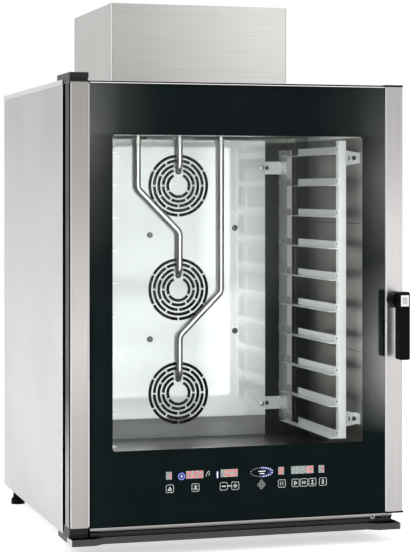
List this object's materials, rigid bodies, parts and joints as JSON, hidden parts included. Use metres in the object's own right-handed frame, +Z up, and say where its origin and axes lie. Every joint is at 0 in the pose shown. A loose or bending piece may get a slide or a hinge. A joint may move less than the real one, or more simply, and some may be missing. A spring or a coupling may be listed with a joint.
{
  "type": "gas convection oven",
  "caption": "Counter-top gas convection oven with a full-height glass door on side hinges, lever latch, fan baffle, tray racks and a flue box on the roof.",
  "frame": {"origin": "worktop level under the middle of the whole object", "axes": "+Z up, the door faces -Y, +X to the right seen from the front"},
  "size_m": [0.7524, 0.8364, 1.202],
  "materials": {
    "case_steel": "brushed stainless sheet",
    "door_steel": "brushed stainless profile",
    "chamber_steel": "polished stainless sheet",
    "rack_steel": "polished stainless wire and angle",
    "tube_steel": "bright stainless tube",
    "galvanised_steel": "galvanised sheet",
    "burner_steel": "heat-tinted stainless",
    "black_metal": "black powder coat",
    "black_plastic": "black moulded plastic",
    "grey_plastic": "dark grey moulded plastic",
    "pale_plastic": "pale grey plastic cap",
    "clear_glass": "toughened clear glass",
    "black_enamel": "black ceramic print",
    "display_face": "pale display window",
    "seal_rubber": "black silicone seal",
    "cast_aluminium": "die-cast aluminium",
    "wool": "mineral wool",
    "circuit_board": "green circuit board",
    "brass": "machined brass",
    "ceramic": "white ceramic"
  },
  "bodies": {
    "cabinet": {"left_side_panel": "case_steel", "right_side_panel": "case_steel", "top_cover": "case_steel", "front_frame": "case_steel", "chimney_shell": "case_steel", "chimney_lid": "case_steel", "cooking_chamber": "chamber_steel", "fan_baffle": "chamber_steel", "left_rack_posts": "rack_steel", "right_rack_posts": "rack_steel", "left_tray_rails": "rack_steel", "right_tray_rails": "rack_steel", "water_tube_left": "tube_steel", "water_tube_centre": "tube_steel", "water_tube_right": "tube_steel", "water_manifold": "tube_steel", "baffle_bolts": "tube_steel", "drain_strainer": "tube_steel", "drain_pipe": "tube_steel", "base_pan": "galvanised_steel", "rear_panel": "galvanised_steel", "motor_plate": "galvanised_steel", "flue_duct": "galvanised_steel", "heat_exchanger": "burner_steel", "burner_tube": "burner_steel", "top_hinge_plate": "black_metal", "lower_hinge_plate": "black_metal", "feet": "black_plastic", "cable_gland": "black_plastic", "drip_tray": "grey_plastic", "drip_tray_caps": "pale_plastic", "door_seal": "seal_rubber", "shaft_seals": "seal_rubber", "fan_motors": "cast_aluminium", "premix_blower": "cast_aluminium", "gas_valve": "cast_aluminium", "insulation_wrap": "wool", "power_board": "circuit_board", "water_solenoid": "brass", "gas_inlet_pipe": "brass", "igniter": "ceramic"},
    "door": {"door_profile_left": "door_steel", "door_profile_right": "door_steel", "door_rails": "galvanised_steel", "outer_glass": "clear_glass", "glass_border": "black_enamel", "display_modules": "display_face", "control_board": "circuit_board", "inner_panel": "door_steel", "inner_glass": "clear_glass", "drip_gutter": "door_steel", "door_caps": "black_plastic", "door_hinge_blocks": "black_metal", "spindle_bush": "tube_steel"},
    "handle": {"handle_lever": "black_plastic", "handle_cap": "pale_plastic", "latch_spindle": "tube_steel"},
    "fan_bottom": {"fan_wheel_bottom": "burner_steel"},
    "fan_middle": {"fan_wheel_middle": "burner_steel"},
    "fan_top": {"fan_wheel_top": "burner_steel"}
  },
  "joints": [
    {"name": "door_hinge", "type": "hinge", "parent": "cabinet", "child": "door", "pos_m": [-0.355, -0.32675, 0.067], "axis": [0, 0, -1], "range_deg": [0, 180]},
    {"name": "handle_turn", "type": "hinge", "parent": "door", "child": "handle", "pos_m": [0.354, -0.35675, 0.535], "axis": [0, -1, 0], "range_deg": [-90, 90]},
    {"name": "fan_bottom_spin", "type": "hinge", "parent": "cabinet", "child": "fan_bottom", "pos_m": [0, 0.24825, 0.288], "axis": [0, 1, 0], "continuous": true},
    {"name": "fan_middle_spin", "type": "hinge", "parent": "cabinet", "child": "fan_middle", "pos_m": [0, 0.24825, 0.5375], "axis": [0, 1, 0], "continuous": true},
    {"name": "fan_top_spin", "type": "hinge", "parent": "cabinet", "child": "fan_top", "pos_m": [0, 0.24825, 0.787], "axis": [0, 1, 0], "continuous": true}
  ]
}
